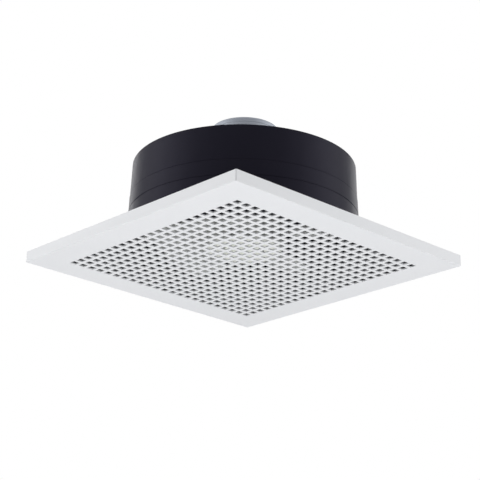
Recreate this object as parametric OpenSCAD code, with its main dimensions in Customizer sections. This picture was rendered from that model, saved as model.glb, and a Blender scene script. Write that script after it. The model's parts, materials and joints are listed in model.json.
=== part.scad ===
// Ceiling extractor fan: a square perforated grille under a round drum, with an axial fan
// and its motor hung from a four-armed stay at the top of the drum.
// Lengths are in millimetres. The origin is on the drum's axis in the ceiling plane, +Z up.

/* [Grille] */
// Side of the square grille panel
panel_side = 360; // [345:1:420]
// Height of the panel from its face to its upper edge
panel_h = 13.3; // [12.4:0.1:20]
// Wall of the panel
panel_wall = 1.4; // [1.2:0.1:2.5]
// Radius of the panel's upright corners
panel_corner_r = 1.2; // [0.8:0.1:8]
// Radius between the panel's face and its rim
panel_edge_r = 0.8; // [0.6:0.1:2]
// Holes along each side of the field
hole_count = 23; // [15:2:25]
// Side of each square hole
hole_side = 8.1; // [5:0.1:9]
// Distance between the centres of neighbouring holes
hole_pitch = 12.64; // [10.5:0.02:13]
// Distance that the grille can be drawn down for cleaning
grille_drop = 65; // [40:1:75]

/* [Hanger springs] */
// Diameter of the spring wire
wire_d = 1.8; // [1.4:0.1:2.2]
// Distance between the two legs of a spring
leg_spacing = 24; // [20:1:32]
// Length of the turned-out tip of a leg
tip_l = 8; // [7:0.5:10]
// Bend radius of the wire's centre line
wire_bend_r = 3.5; // [2.5:0.1:4]
// Thickness of the clip that holds a spring
clip_t = 1.5; // [1:0.1:1.8]

/* [Mounting frame] */
// Thickness of the frame sheet
frame_t = 2; // [1.5:0.1:2.5]
// Distance from the frame's edge to the inside of the panel's rim
frame_inset = 18.6; // [14:0.1:20]
// Depth of the frame's turned-down edge
frame_edge_h = 5; // [4:0.1:6]
// Spacing of the ceiling screw holes
mount_spacing = 250; // [236:1:270]
// Diameter of the ceiling screw holes
mount_hole_d = 5; // [4:0.1:6]

/* [Drum] */
// Radius of the drum at the ceiling plane
drum_r = 137; // [133:0.5:142]
// Radius of the drum at its top
drum_top_r = 133.2; // [131:0.1:136]
// Height of the drum above the ceiling plane
drum_h = 104.8; // [98:0.1:125]
// Wall of the drum
drum_wall = 2.2; // [1.8:0.1:2.6]
// Lower edge of the joint band above the ceiling plane
band_low = 43.9; // [40:0.1:50]
// Upper edge of the joint band above the ceiling plane
band_high = 62; // [58:0.1:68]
// Step of the joint band out of the drum's side
band_step = 0.4; // [0.2:0.05:0.6]
// Thickness of the lip round the drum's foot
lip_t = 2; // [1.6:0.1:2.4]
// Width of the lip
lip_w = 11; // [10:0.5:13]

/* [Fan] */
// Radius of the blade tips
tip_r = 120; // [112:0.5:121]
// Gap between the blade tips and the throat
tip_gap = 2.5; // [1.5:0.1:3]
// Number of blades
blade_count = 5; // [3:1:5]
// Height of the middle of the blades above the hub's face
blade_rise = 20; // [16:0.5:26]
// Thickness of a blade
blade_t = 2.2; // [1.6:0.1:3]
// Pitch of a blade in degrees
blade_pitch = 24; // [16:1:28]
// Camber radius of a blade
blade_camber_r = 150; // [120:5:250]
// Radius of the round lobe that a blade is cut to
lobe_r = 46; // [42:0.5:50]
// Radius of the hub
hub_r = 46.8; // [42:0.1:50]
// Depth of the hub
hub_depth = 48; // [44:0.5:52]
// Wall of the hub
hub_wall = 2.4; // [1.8:0.1:3]
// Radius of the spinner nut on the hub's face
nut_r = 23.5; // [18:0.5:26]
// Distance by which the spinner nut stands out of the hub's face
nut_rise = 1; // [1:0.5:8]
// Distance of the hub's face above the panel's face
hub_setback = 16.2; // [15:0.1:22]
// Angle at which the fan stands at rest, in degrees
fan_angle = 42; // [0:1:71]

/* [Throat] */
// Wall of the throat ring
throat_wall = 1.6; // [1.2:0.1:2]
// Radius of the flared mouth
flare_r = 12; // [10:0.1:12.5]
// Height of the throat ring above the ceiling plane
throat_h = 58; // [50:0.5:62]

/* [Motor] */
// Radius of the motor
motor_r = 40.8; // [40:0.1:44]
// Height of the motor above the drum's top
motor_rise = 53; // [46:0.5:60]
// Wall of the motor shells
shell_t = 1.6; // [1.2:0.1:2]
// Round edge at the top of the motor
motor_edge_r = 3; // [2.5:0.1:6]
// Gap between the hub and the motor's nose
nose_gap = 7; // [5:0.1:9]
// Diameter of the shaft
shaft_d = 8; // [7:0.1:9]
// Length of the stator core
core_l = 40; // [34:0.5:42]
// Radius of the rotor core
rotor_r = 22; // [20:0.1:24]
// Air gap between the rotor and the stator
air_gap = 0.5; // [0.3:0.05:1]
// Length of a sleeve bearing
bearing_l = 12.7; // [11:0.1:14]
// Outer radius of a sleeve bearing
bearing_r = 11; // [10:0.1:12]

/* [Stay] */
// Thickness of the stay sheet
stay_t = 2; // [1.5:0.1:2.5]
// Depth of the stay below the drum's top
stay_depth = 9.3; // [8:0.1:12]
// Width of a stay arm
arm_w = 26; // [22:0.5:30]
// Depth of the turned-down edges of an arm
arm_edge_h = 8; // [5:0.5:10]
// Thickness of the rubber under the motor's ears
bush_t = 3; // [2.6:0.1:4]

/* [Terminal box] */
// Length of the box along the arm
box_l = 46; // [44:0.5:48]
// Width of the box across the arm
box_w = 64; // [60:0.5:70]
// Height of the box
box_h = 40; // [38:0.5:46]
// Wall of the box
box_wall = 2; // [1.6:0.1:2.4]
// Diameter of the supply cable that the gland takes
cable_d = 8.6; // [7:0.1:9.5]
// Diameter of the sleeved motor lead
lead_d = 4.8; // [4:0.1:5.4]

/* [Hidden] */
$fn = 64;
// Clearances: running fit, close fit, and a seat between parts that come apart
run_gap = 0.05;
fit_gap = 0.1;
seat_gap = 0.3;
// Length by which a cutting tool runs past what it cuts
overlap = 1;
// Screw shank radii, and a pan head's size in shank radii
clip_shank_r = 1.4;
lap_shank_r = 1.4;
lip_shank_r = 1.75;
small_shank_r = 1.5;
mount_shank_r = 2;
stay_shank_r = 2.2;
head_r_share = 1.9;
head_h_share = 1.15;
recess_l_share = 1.3;
recess_w_share = 0.3;
// Length of a screw's end past its nut
screw_end = 1;
// Angles of the stay's arms, of the terminal box and of the earth screw
arm_angles = [45, 135, 225, 315];
box_angle = 135;
earth_angle = 45;

// Fine seam up each corner of the panel's rim, and the least radius inside a corner
seam_w = 0.4;
seam_deep = 0.3;
least_corner_r = 0.4;

// Levels of the grille
face_z = -seat_gap - panel_h;
plate_z = face_z + panel_wall;
field_half = ((hole_count - 1) * hole_pitch + hole_side) / 2;
panel_inner_r = max(panel_corner_r - panel_wall, least_corner_r);
corner_reach = (panel_side / 2 - panel_corner_r) * sqrt(2) + panel_corner_r;

// Levels of the stack under the ceiling: frame, drum lip, throat plate
lip_top_z = -frame_t;
lip_z = lip_top_z - lip_t;
throat_z = lip_z - throat_wall;
lip_r = drum_r + lip_w;
frame_land = 6;
frame_half = max(panel_side / 2 - panel_wall - frame_inset, lip_r + frame_land);
frame_corner_r = 6;
frame_gap = 1.2;
lip_screw_r = lip_r - lip_w / 2;
lip_screw_angles = [30, 90, 150, 210, 270, 330];
post_r = 4;
post_gap = 2;
post_xy = frame_half - frame_t - post_r - post_gap;

// Drum side: the radius at a height, outside and inside
draft = (drum_r - drum_top_r) / drum_h;
function drum_out(z) = drum_r - draft * z;
function drum_in(z) = drum_out(z) - drum_wall;
spigot_gap = 0.2;
spigot_wall = 2;
function spigot_out(z) = drum_in(z) - spigot_gap;
function spigot_in(z) = spigot_out(z) - spigot_wall;
spigot_step = 3;
spigot_top_z = band_high + spigot_step;
reveal_h = 1.6;
reveal_w = 0.8;
drum_rim_h = 3;
drum_rim_w = 2;
drum_rim_r = drum_in(drum_h) - drum_rim_w;
lap_z = (band_low + band_high) / 2;
lap_angles = [60, 120, 240, 300];
lap_shank_l = spigot_wall + spigot_gap + drum_wall / 2;

// Throat
throat_r = tip_r + tip_gap;
throat_out = throat_r + throat_wall;
flare_z = throat_z + flare_r;

// Hanger springs
wire_r = wire_d / 2;
spring_clear = 2.5;
spring_x = throat_out + spring_clear + wire_r;
leg_y = leg_spacing / 2;
tip_rest_gap = 5;
spring_top_z = grille_drop + tip_rest_gap;
wire_z = plate_z + wire_r + run_gap;
foot_gap = 8;
foot_x = max(lip_r, field_half) + foot_gap;
clip_z = wire_z + wire_r + run_gap;
clip_w = leg_spacing - 2 * wire_bend_r;
clip_boss_r = 3.2;
clip_boss_gap = 1;
clip_screw_x = foot_x - wire_r - clip_boss_r - clip_boss_gap;
clip_screw_l = clip_z - plate_z + panel_wall / 2;
slot_gap = 0.8;
slot_end = 3;
slot_w = wire_d + 2 * slot_gap;
slot_l = leg_spacing + wire_d + 2 * slot_end;

// Fan
hub_z = face_z + hub_setback;
hub_top_z = hub_z + hub_depth;
hub_edge_r = 4;
hub_disc_t = 2.5;
hub_boss_r = 10;
hub_boss_drop = 6;
hub_boss_z = hub_top_z - hub_boss_drop;
hub_rib_count = 6;
nut_gap = 1.5;
nut_recess_r = nut_r + nut_gap;
nut_recess_h = 7;
nut_seat_z = hub_z + nut_recess_h;
nut_round_r = 1.5;
nut_flutes = 14;
flute_r = 2.4;
flute_out = 1.2;
lobe_in = 30;
lobe_centre_r = tip_r - lobe_in;
blade_z = hub_z + blade_rise;
shaft_r = shaft_d / 2;
shaft_end_gap = 0.5;
shaft_z = hub_z + 2 * shaft_end_gap;
rotor_step = 2;
rotor_bore_r = shaft_r + rotor_step;
pin_r = 1.5;
pin_z = hub_boss_z - pin_r - fit_gap;
pin_l = 2 * (hub_boss_r - pin_r);

// Stay and motor mounting
stay_z = drum_h - stay_depth;
stay_top_z = stay_z + stay_t;
flange_z = stay_top_z + bush_t;
split_z = flange_z + shell_t;
shell_screw_gap = 4.6;
shell_screw_r = motor_r + shell_screw_gap;
flange_edge = 3.6;
flange_r = shell_screw_r + flange_edge;
shell_angles = [0, 90, 180, 270];
shell_nut_r = 3;
shell_nut_h = 2.4;
mount_nut_r = 4;
mount_nut_h = 3.2;
bush_bore_r = mount_shank_r + seat_gap;
bush_neck_r = 5.5;
bush_pad_r = 8.5;
bush_low_t = 2;
ear_pad_r = 8;
ear_gap = 1;
ear_r = flange_r + ear_pad_r + ear_gap;
stay_gap = 1.5;
stay_hole_r = flange_r + stay_gap;
stay_ring_r = ear_r + bush_pad_r + stay_gap;
boss_l = 16;
boss_h = 14;
boss_inset = 2;
boss_w = arm_w - 2 * boss_inset;
boss_in_r = spigot_in(stay_z) - boss_l;
stay_screw_r = boss_in_r + boss_l / 2;
boss_floor = 4;
stay_screw_l = boss_h - boss_floor;
arm_end_gap = 1;
arm_end_r = drum_rim_r - arm_end_gap;
arm_edge_x = stay_ring_r;
arm_edge_gap = 2;
arm_edge_l = boss_in_r - arm_edge_gap - arm_edge_x;
earth_out = 14;
earth_x = stay_ring_r + earth_out;
earth_end = 4;
earth_l = stay_t + earth_end;

// Motor
motor_top_z = drum_h + motor_rise;
nose_z = hub_top_z + nose_gap;
nose_h = 4;
nose_wall = 3;
nose_r = bearing_r + nose_wall;
shaft_hole_gap = 1;
shaft_hole_r = shaft_r + shaft_hole_gap;
bearing_proud = 1;
motor_z = nose_z + nose_h;
motor_chamfer = 3;
motor_in_r = motor_r - shell_t;
bearing_low_z = nose_z + shell_t;
bearing_cover = 8.3;
bearing_high_z = motor_top_z - bearing_cover - bearing_l;
shaft_end = 2;
washer_t = 1;
washer_edge = 2.5;
washer_r = rotor_bore_r + washer_edge;
shoulder_low_z = bearing_low_z + bearing_l + seat_gap + washer_t;
shoulder_high_z = bearing_high_z - seat_gap - washer_t;
core_z = (shoulder_low_z + shoulder_high_z - core_l) / 2;
core_top_z = core_z + core_l;
core_r = motor_in_r - seat_gap;
core_slots = 16;
core_slot_w = 5;
coil_h = 9;
coil_round_r = 2.5;
coil_gap = 3.4;
coil_out = core_r - coil_gap;
tooth_h = 2.5;
coil_in = rotor_r + air_gap + tooth_h;
coil_w = coil_out - coil_in;
ledge_gap = 1;
front_in_r = coil_out + ledge_gap;
end_ring_h = 4;
end_ring_inset = 1.5;
end_ring_r = rotor_r - end_ring_inset;
end_ring_w = 12.5;
end_ring_in = max(end_ring_r - end_ring_w, rotor_bore_r + 2 * end_ring_inset);
groove_count = 4;
groove_pitch = 4;
groove_w = 0.8;
groove_deep = 0.3;

// Terminal box, in the frame of the arm that carries it
box_gap = 0.8;
box_x = ear_r + bush_pad_r + box_gap;
box_end_x = box_x + box_l;
box_z = stay_top_z;
box_top_z = box_z + box_h;
box_floor_z = box_z + box_wall;
box_screw_y = 7;
box_screw_x = box_x + box_wall + box_screw_y;
box_screw_l = box_wall + stay_t + 2 * screw_end;
cover_t = 2.2;
cover_boss_r = 3.5;
cover_screw_l = 10;
boss_sink = 0.5;
cover_inset = box_wall + cover_boss_r - boss_sink;
cover_points = [
    [box_x + cover_inset, cover_inset - box_w / 2],
    [box_end_x - cover_inset, box_w / 2 - cover_inset]
];
block_gap = 9;
block_x = box_screw_x + block_gap;
block_l = 16;
block_w = 24;
block_h = 14;
block_side = 2.5;
well_r = 2.2;
well_h = 4;
terminal_pitch = 7;
terminal_ys = [for (i = [-1 : 1]) -block_side - block_w / 2 + i * terminal_pitch];
capacitor_h = 26;
tab_l = 4.8;
tab_t = 0.8;
tab_h = 6;

// Motor lead and cable gland
lead_r = lead_d / 2;
lead_rise = 4.4;
lead_z = core_top_z + lead_r + lead_rise;
lead_gap = 0.6;
lead_in_r = coil_out + lead_gap;
lead_end = 6;
grommet_wall = 1.6;
grommet_edge = 2;
grommet_r = lead_r + grommet_wall;
grommet_pad_r = grommet_r + grommet_edge;
grommet_pad_t = 1.4;
gland_gap = 0.2;
gland_wall = 2.6;
gland_rise = 4;
gland_r = cable_d / 2 + gland_gap;
gland_neck_r = gland_r + gland_wall;
gland_nut_r = gland_neck_r + gland_wall;
gland_z = box_floor_z + gland_nut_r + gland_rise;
gland_pad_t = 5;
gland_cap_t = 9;
gland_cap_r = gland_neck_r + gland_wall / 2;
locknut_t = 3;
gland_neck_l = box_wall + locknut_t + screw_end;

// Shared shapes

// A square with round corners, centred on the axis.
module rounded_square(side, r) {
    square([side, side - 2 * r], center = true);
    square([side - 2 * r, side], center = true);
    for (x = [-1, 1], y = [-1, 1])
        translate([x, y] * (side / 2 - r)) circle(r);
}

// A straight tube or ring standing on z.
module ring(out_r, in_r, z, h) {
    translate([0, 0, z]) difference() {
        cylinder(r = out_r, h = h);
        translate([0, 0, -overlap]) cylinder(r = in_r, h = h + 2 * overlap);
    }
}

// A pan-head screw with its head standing up from z and its shank going down.
module screw(z, shank_r, shank_l) {
    head_r = head_r_share * shank_r;
    head_h = head_h_share * shank_r;
    translate([0, 0, z - shank_l]) cylinder(r = shank_r, h = shank_l);
    difference() {
        translate([0, 0, z]) cylinder(r = head_r, h = head_h);
        for (a = [0, 90])
            translate([0, 0, z + head_h]) rotate(a)
                cube([recess_l_share * head_r, recess_w_share * head_r, head_h], center = true);
    }
}

// A hexagon nut standing on z, with its hole.
module nut(z, across_r, hole_r, h) {
    translate([0, 0, z]) difference() {
        cylinder(r = across_r, h = h, $fn = 6);
        translate([0, 0, -overlap]) cylinder(r = hole_r, h = h + 2 * overlap);
    }
}

// Copies of a child at a radius and at each of the given angles.
module around(r, angles) {
    for (a = angles) rotate(a) translate([r, 0, 0]) children();
}

// Grille

// Section of the panel across one side: upright walls with a round lower edge.
module panel_section() {
    translate([-panel_side / 2, panel_edge_r])
        square([panel_side, panel_h - panel_edge_r]);
    translate([panel_edge_r - panel_side / 2, 0])
        square([panel_side - 2 * panel_edge_r, panel_h]);
    for (x = [-1, 1])
        translate([x * (panel_side / 2 - panel_edge_r), panel_edge_r]) circle(panel_edge_r);
}

// The panel's section run along X, or along Y with a quarter turn.
module panel_bar(turn) {
    rotate(turn) rotate([90, 0, 0])
        linear_extrude(panel_side + 2 * overlap, center = true) panel_section();
}

// Outside of the panel as a solid block standing on its face.
module panel_block() {
    intersection() {
        linear_extrude(panel_h) rounded_square(panel_side, panel_corner_r);
        panel_bar(0);
        panel_bar(90);
    }
}

// The square grid of air holes.
module hole_field() {
    first = -(hole_count - 1) / 2;
    for (i = [0 : hole_count - 1], j = [0 : hole_count - 1])
        translate([(first + i) * hole_pitch, (first + j) * hole_pitch, face_z + panel_wall / 2])
            cube([hole_side, hole_side, panel_wall + 2 * overlap], center = true);
}

module grille_panel() {
    color("white") difference() {
        union() {
            difference() {
                translate([0, 0, face_z]) panel_block();
                translate([0, 0, plate_z]) linear_extrude(panel_h)
                    rounded_square(panel_side - 2 * panel_wall, panel_inner_r);
                hole_field();
                around(corner_reach, arm_angles)
                    translate([-seam_deep, -seam_w / 2, face_z + panel_edge_r])
                        cube([2 * seam_deep, seam_w, panel_h]);
            }
            for (x = [-1, 1], y = [-1, 1])
                translate([x * post_xy, y * post_xy, plate_z])
                    cylinder(r = post_r, h = lip_top_z - seat_gap - plate_z);
            around(clip_screw_x, [0, 180])
                translate([0, 0, plate_z]) cylinder(r = clip_boss_r, h = clip_z - plate_z);
        }
        around(clip_screw_x, [0, 180])
            translate([0, 0, clip_z - clip_screw_l])
                cylinder(r = clip_shank_r + run_gap, h = clip_screw_l + overlap);
    }
}

// One leg of a hanger spring: along the panel, up through the throat, and out at the tip.
module spring_leg() {
    translate([foot_x - wire_bend_r, leg_y - wire_bend_r, wire_z])
        rotate_extrude(angle = 90) translate([wire_bend_r, 0]) circle(wire_r);
    translate([spring_x + wire_bend_r, leg_y, wire_z]) rotate([0, 90, 0])
        cylinder(r = wire_r, h = foot_x - spring_x - 2 * wire_bend_r);
    translate([spring_x + wire_bend_r, leg_y, wire_z + wire_bend_r]) rotate([90, 0, 0]) rotate(180)
        rotate_extrude(angle = 90) translate([wire_bend_r, 0]) circle(wire_r);
    translate([spring_x, leg_y, wire_z + wire_bend_r])
        cylinder(r = wire_r, h = spring_top_z - wire_z - 2 * wire_bend_r);
    translate([spring_x, leg_y + wire_bend_r, spring_top_z - wire_bend_r])
        rotate([90, 0, 90]) rotate(90)
            rotate_extrude(angle = 90) translate([wire_bend_r, 0]) circle(wire_r);
    translate([spring_x, leg_y + wire_bend_r, spring_top_z]) rotate([-90, 0, 0])
        cylinder(r = wire_r, h = tip_l - wire_bend_r);
}

// A hanger spring of round wire, a U in plan that turns up into the drum.
module hanger_spring() {
    color("silver") {
        translate([foot_x, 0, wire_z]) rotate([90, 0, 0])
            cylinder(r = wire_r, h = leg_spacing - 2 * wire_bend_r, center = true);
        spring_leg();
        mirror([0, 1, 0]) spring_leg();
    }
}

module right_hanger_spring() {
    hanger_spring();
}

module left_hanger_spring() {
    rotate(180) hanger_spring();
}

// The clip over a spring's foot, with a lip that stands on the panel outside the wire.
module spring_clip() {
    lip_x = foot_x + wire_r + seat_gap;
    color("gainsboro") difference() {
        union() {
            translate([clip_screw_x - clip_boss_r, -clip_w / 2, clip_z])
                cube([lip_x + clip_t - clip_screw_x + clip_boss_r, clip_w, clip_t]);
            translate([lip_x, -clip_w / 2, plate_z])
                cube([clip_t, clip_w, clip_z + clip_t - plate_z]);
        }
        translate([clip_screw_x, 0, plate_z])
            cylinder(r = clip_shank_r + fit_gap, h = panel_h);
    }
}

module right_spring_clip() {
    spring_clip();
}

module left_spring_clip() {
    rotate(180) spring_clip();
}

module clip_screws() {
    color("silver") around(clip_screw_x, [0, 180])
        screw(clip_z + clip_t, clip_shank_r, clip_t + clip_screw_l - seat_gap);
}

// Drum and its mounting

module mounting_frame() {
    color("dimgray") difference() {
        union() {
            translate([0, 0, lip_top_z]) linear_extrude(frame_t)
                rounded_square(2 * frame_half, frame_corner_r);
            translate([0, 0, -frame_edge_h]) linear_extrude(frame_edge_h) difference() {
                rounded_square(2 * frame_half, frame_corner_r);
                rounded_square(2 * (frame_half - frame_t), frame_corner_r - frame_t);
            }
        }
        translate([0, 0, -panel_h]) cylinder(r = drum_r + frame_gap, h = 2 * panel_h);
        for (x = [-1, 1], y = [-1, 1])
            translate([x * mount_spacing / 2, y * mount_spacing / 2, -panel_h])
                cylinder(d = mount_hole_d, h = 2 * panel_h);
        around(lip_screw_r, lip_screw_angles)
            translate([0, 0, -panel_h]) cylinder(r = lip_shank_r + run_gap, h = 2 * panel_h);
    }
}

// Lower half of the drum: a drafted shell with a lip at its foot and the joint band at its top.
module drum_base() {
    color("#1c1c26") difference() {
        rotate_extrude($fn = 96) polygon([
            [drum_in(lip_z), lip_z],
            [lip_r, lip_z],
            [lip_r, lip_top_z],
            [drum_out(lip_top_z), lip_top_z],
            [drum_out(band_low), band_low],
            [drum_out(band_low) + band_step, band_low],
            [drum_out(band_high) + band_step, band_high],
            [drum_in(band_high), band_high]
        ]);
        around(lip_screw_r, lip_screw_angles)
            translate([0, 0, lip_z - overlap]) cylinder(r = lip_shank_r + fit_gap, h = lip_t + 2 * overlap);
        around(spigot_in(lap_z), lap_angles)
            translate([0, 0, lap_z]) rotate([0, 90, 0])
                cylinder(r = lap_shank_r + run_gap, h = lap_shank_l + seat_gap);
    }
}

// Upper half of the drum: its spigot stands inside the base and its shoulder on the base's edge,
// with a sloped reveal along the joint.
module drum_collar() {
    color("#1c1c26") difference() {
        union() {
            rotate_extrude($fn = 96) polygon([
                [spigot_in(band_low), band_low],
                [spigot_out(band_low), band_low],
                [spigot_out(band_high), band_high],
                [drum_out(band_high) - reveal_w, band_high],
                [drum_out(band_high + reveal_h), band_high + reveal_h],
                [drum_out(drum_h), drum_h],
                [drum_rim_r, drum_h],
                [drum_rim_r, drum_h - drum_rim_h],
                [drum_in(drum_h - drum_rim_h), drum_h - drum_rim_h],
                [drum_in(spigot_top_z), spigot_top_z],
                [spigot_in(spigot_top_z), spigot_top_z]
            ]);
            stay_bosses();
        }
        around(stay_screw_r, arm_angles)
            translate([0, 0, stay_z - stay_screw_l])
                cylinder(r = stay_shank_r + run_gap, h = stay_screw_l + overlap);
        around(spigot_in(lap_z) - overlap, lap_angles)
            translate([0, 0, lap_z]) rotate([0, 90, 0])
                cylinder(r = lap_shank_r + fit_gap, h = spigot_wall + spigot_gap + overlap);
    }
}

// The four bosses inside the drum that the stay is screwed to, ended inside the drum's wall.
module stay_bosses() {
    intersection() {
        for (a = arm_angles)
            rotate(a) translate([boss_in_r, -boss_w / 2, stay_z - boss_h])
                cube([2 * boss_l, boss_w, boss_h]);
        rotate_extrude($fn = 96) polygon([
            [0, stay_z - boss_h],
            [drum_out(stay_z - boss_h) - drum_wall / 2, stay_z - boss_h],
            [drum_out(stay_z) - drum_wall / 2, stay_z],
            [0, stay_z]
        ]);
    }
}

module lap_screws() {
    color("silver") for (a = lap_angles)
        rotate(a) translate([spigot_in(lap_z) - fit_gap, 0, lap_z]) rotate([0, -90, 0])
            screw(0, lap_shank_r, lap_shank_l);
}

// The throat round the blade tips, flared at its mouth and clamped under the drum's lip.
module throat_ring() {
    color("#24242c") difference() {
        rotate_extrude($fn = 96) {
            intersection() {
                translate([throat_r + flare_r, flare_z]) difference() {
                    circle(flare_r);
                    circle(flare_r - throat_wall);
                }
                translate([throat_r, throat_z]) square(flare_r);
            }
            translate([throat_r, flare_z]) square([throat_wall, throat_h - flare_z]);
            translate([throat_r + flare_r, throat_z])
                square([lip_r - throat_r - flare_r, throat_wall]);
        }
        around(spring_x, [0, 180])
            translate([-slot_w / 2, -slot_l / 2, throat_z - overlap])
                cube([slot_w, slot_l, flare_r]);
        around(lip_screw_r, lip_screw_angles)
            translate([0, 0, throat_z - overlap])
                cylinder(r = lip_shank_r + fit_gap, h = throat_wall + 2 * overlap);
    }
}

module throat_screws() {
    color("silver") around(lip_screw_r, lip_screw_angles)
        mirror([0, 0, 1]) screw(-throat_z, lip_shank_r, -throat_z - seat_gap);
}

// Stay

module motor_stay() {
    color("lightsteelblue") difference() {
        union() {
            translate([0, 0, stay_z]) linear_extrude(stay_t) {
                circle(stay_ring_r);
                intersection() {
                    circle(arm_end_r, $fn = 96);
                    for (a = arm_angles)
                        rotate(a) translate([ear_r, -arm_w / 2]) square([arm_end_r, arm_w]);
                }
            }
            for (a = arm_angles, y = [-arm_w / 2, arm_w / 2 - stay_t])
                rotate(a) translate([arm_edge_x, y, stay_z - arm_edge_h])
                    cube([arm_edge_l, stay_t, arm_edge_h + stay_t / 2]);
        }
        translate([0, 0, stay_z - overlap]) cylinder(r = stay_hole_r, h = stay_t + 2 * overlap);
        translate([0, 0, stay_z - overlap]) {
            around(ear_r, arm_angles) cylinder(r = bush_neck_r + fit_gap, h = stay_t + 2 * overlap);
            around(stay_screw_r, arm_angles)
                cylinder(r = stay_shank_r + fit_gap, h = stay_t + 2 * overlap);
            rotate(box_angle) for (y = [-1, 1])
                translate([box_screw_x, y * box_screw_y, 0])
                    cylinder(r = small_shank_r + run_gap, h = stay_t + 2 * overlap);
            rotate(earth_angle) translate([earth_x, 0, 0])
                cylinder(r = stay_shank_r + run_gap, h = stay_t + 2 * overlap);
        }
    }
}

module stay_screws() {
    color("silver") around(stay_screw_r, arm_angles)
        screw(stay_top_z, stay_shank_r, stay_t + stay_screw_l - seat_gap);
}

module earth_screw() {
    color("goldenrod") rotate(earth_angle) translate([earth_x, 0, 0])
        screw(stay_top_z, stay_shank_r, earth_l);
}

module vibration_bushes() {
    color("#303030") around(ear_r, arm_angles) translate([0, 0, stay_z]) rotate_extrude() {
        translate([bush_bore_r, -bush_low_t]) square([bush_pad_r - bush_bore_r, bush_low_t]);
        translate([bush_bore_r, 0]) square([bush_neck_r - bush_bore_r, stay_t]);
        translate([bush_bore_r, stay_t]) square([bush_pad_r - bush_bore_r, bush_t]);
    }
}

module motor_mount_screws() {
    color("silver") around(ear_r, arm_angles)
        screw(split_z, mount_shank_r, split_z - stay_z + bush_low_t + mount_nut_h + screw_end);
}

module motor_mount_nuts() {
    color("silver") around(ear_r, arm_angles)
        nut(stay_z - bush_low_t - mount_nut_h, mount_nut_r, mount_shank_r + run_gap, mount_nut_h);
}

// Motor

// Lower motor shell: a cup with the bearing nose, the ledge under the core, and the mounting ears.
module motor_front_shell() {
    floor_z = motor_z + shell_t;
    boss_top_z = bearing_low_z + bearing_l - bearing_proud;
    pocket_r = bearing_r + fit_gap;
    color("#a8adb4") difference() {
        union() {
            rotate_extrude() polygon([
                [shaft_hole_r, nose_z],
                [nose_r, nose_z],
                [nose_r, motor_z],
                [motor_r - motor_chamfer, motor_z],
                [motor_r, motor_z + motor_chamfer],
                [motor_r, flange_z],
                [flange_r, flange_z],
                [flange_r, split_z],
                [motor_in_r, split_z],
                [motor_in_r, core_z],
                [front_in_r, core_z],
                [front_in_r, floor_z],
                [nose_r, floor_z],
                [nose_r, boss_top_z],
                [pocket_r, boss_top_z],
                [pocket_r, bearing_low_z],
                [shaft_hole_r, bearing_low_z]
            ]);
            for (a = arm_angles)
                rotate(a) translate([0, 0, flange_z]) linear_extrude(shell_t) {
                    translate([ear_r, 0]) circle(ear_pad_r);
                    translate([motor_r + shell_t, -ear_pad_r])
                        square([ear_r - motor_r - shell_t, 2 * ear_pad_r]);
                }
        }
        around(ear_r, arm_angles)
            translate([0, 0, flange_z - overlap]) cylinder(r = bush_bore_r, h = shell_t + 2 * overlap);
        around(shell_screw_r, shell_angles)
            translate([0, 0, flange_z - overlap])
                cylinder(r = small_shank_r + fit_gap, h = shell_t + 2 * overlap);
    }
}

// Half section of a can from the axis out, with a round upper edge.
module can_section(r, z, top_z, edge_r) {
    translate([0, z]) square([r, top_z - edge_r - z]);
    translate([0, z]) square([r - edge_r, top_z - z]);
    translate([r - edge_r, top_z - edge_r]) circle(edge_r);
}

// Upper motor shell: the can that stands out of the drum, with rolled grooves near its top.
module motor_rear_shell() {
    boss_z = bearing_high_z + bearing_proud;
    color("#9aa0aa") difference() {
        rotate_extrude() {
            difference() {
                can_section(motor_r, split_z, motor_top_z, motor_edge_r);
                can_section(motor_in_r, split_z - motor_edge_r, motor_top_z - shell_t,
                            motor_edge_r - shell_t);
                for (i = [1 : groove_count])
                    translate([motor_r - groove_deep, motor_top_z - motor_edge_r - i * groove_pitch])
                        square([shell_t, groove_w]);
            }
            translate([motor_in_r, split_z]) square([flange_r - motor_in_r, shell_t]);
            translate([0, boss_z]) difference() {
                square([nose_r, motor_top_z - shell_t / 2 - boss_z]);
                square([bearing_r + fit_gap, bearing_high_z + bearing_l - boss_z]);
                square([shaft_hole_r, bearing_high_z + bearing_l + 2 * shaft_end - boss_z]);
            }
        }
        around(shell_screw_r, shell_angles)
            translate([0, 0, split_z - overlap])
                cylinder(r = small_shank_r + fit_gap, h = shell_t + 2 * overlap);
        rotate(box_angle) translate([motor_in_r / 2, 0, lead_z]) rotate([0, 90, 0])
            cylinder(r = grommet_r + fit_gap, h = motor_r);
    }
}

module shell_screws() {
    color("silver") around(shell_screw_r, shell_angles)
        screw(split_z + shell_t, small_shank_r, 2 * shell_t + shell_nut_h + screw_end);
}

module shell_nuts() {
    color("silver") around(shell_screw_r, shell_angles)
        nut(flange_z - shell_nut_h, shell_nut_r, small_shank_r + run_gap, shell_nut_h);
}

// The laminated core, slotted from its bore for the windings.
module stator_core() {
    color("#70757c") difference() {
        ring(core_r, rotor_r + air_gap, core_z, core_l);
        for (i = [0 : core_slots - 1])
            rotate(i * 360 / core_slots)
                translate([coil_in, -core_slot_w / 2, core_z - overlap])
                    cube([coil_w - coil_gap / 2, core_slot_w, core_l + 2 * overlap]);
    }
}

// The rounded ring of wire that stands out of one end of the core.
module winding_head(z) {
    translate([0, 0, z]) rotate_extrude() {
        translate([coil_in, coil_round_r]) square([coil_w, coil_h - 2 * coil_round_r]);
        translate([coil_in + coil_round_r, 0]) square([coil_w - 2 * coil_round_r, coil_h]);
        for (x = [coil_round_r, coil_w - coil_round_r], y = [coil_round_r, coil_h - coil_round_r])
            translate([coil_in + x, y]) circle(coil_round_r);
    }
}

module lower_winding() {
    color("peru") winding_head(core_z - coil_h);
}

module upper_winding() {
    color("peru") winding_head(core_top_z);
}

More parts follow.
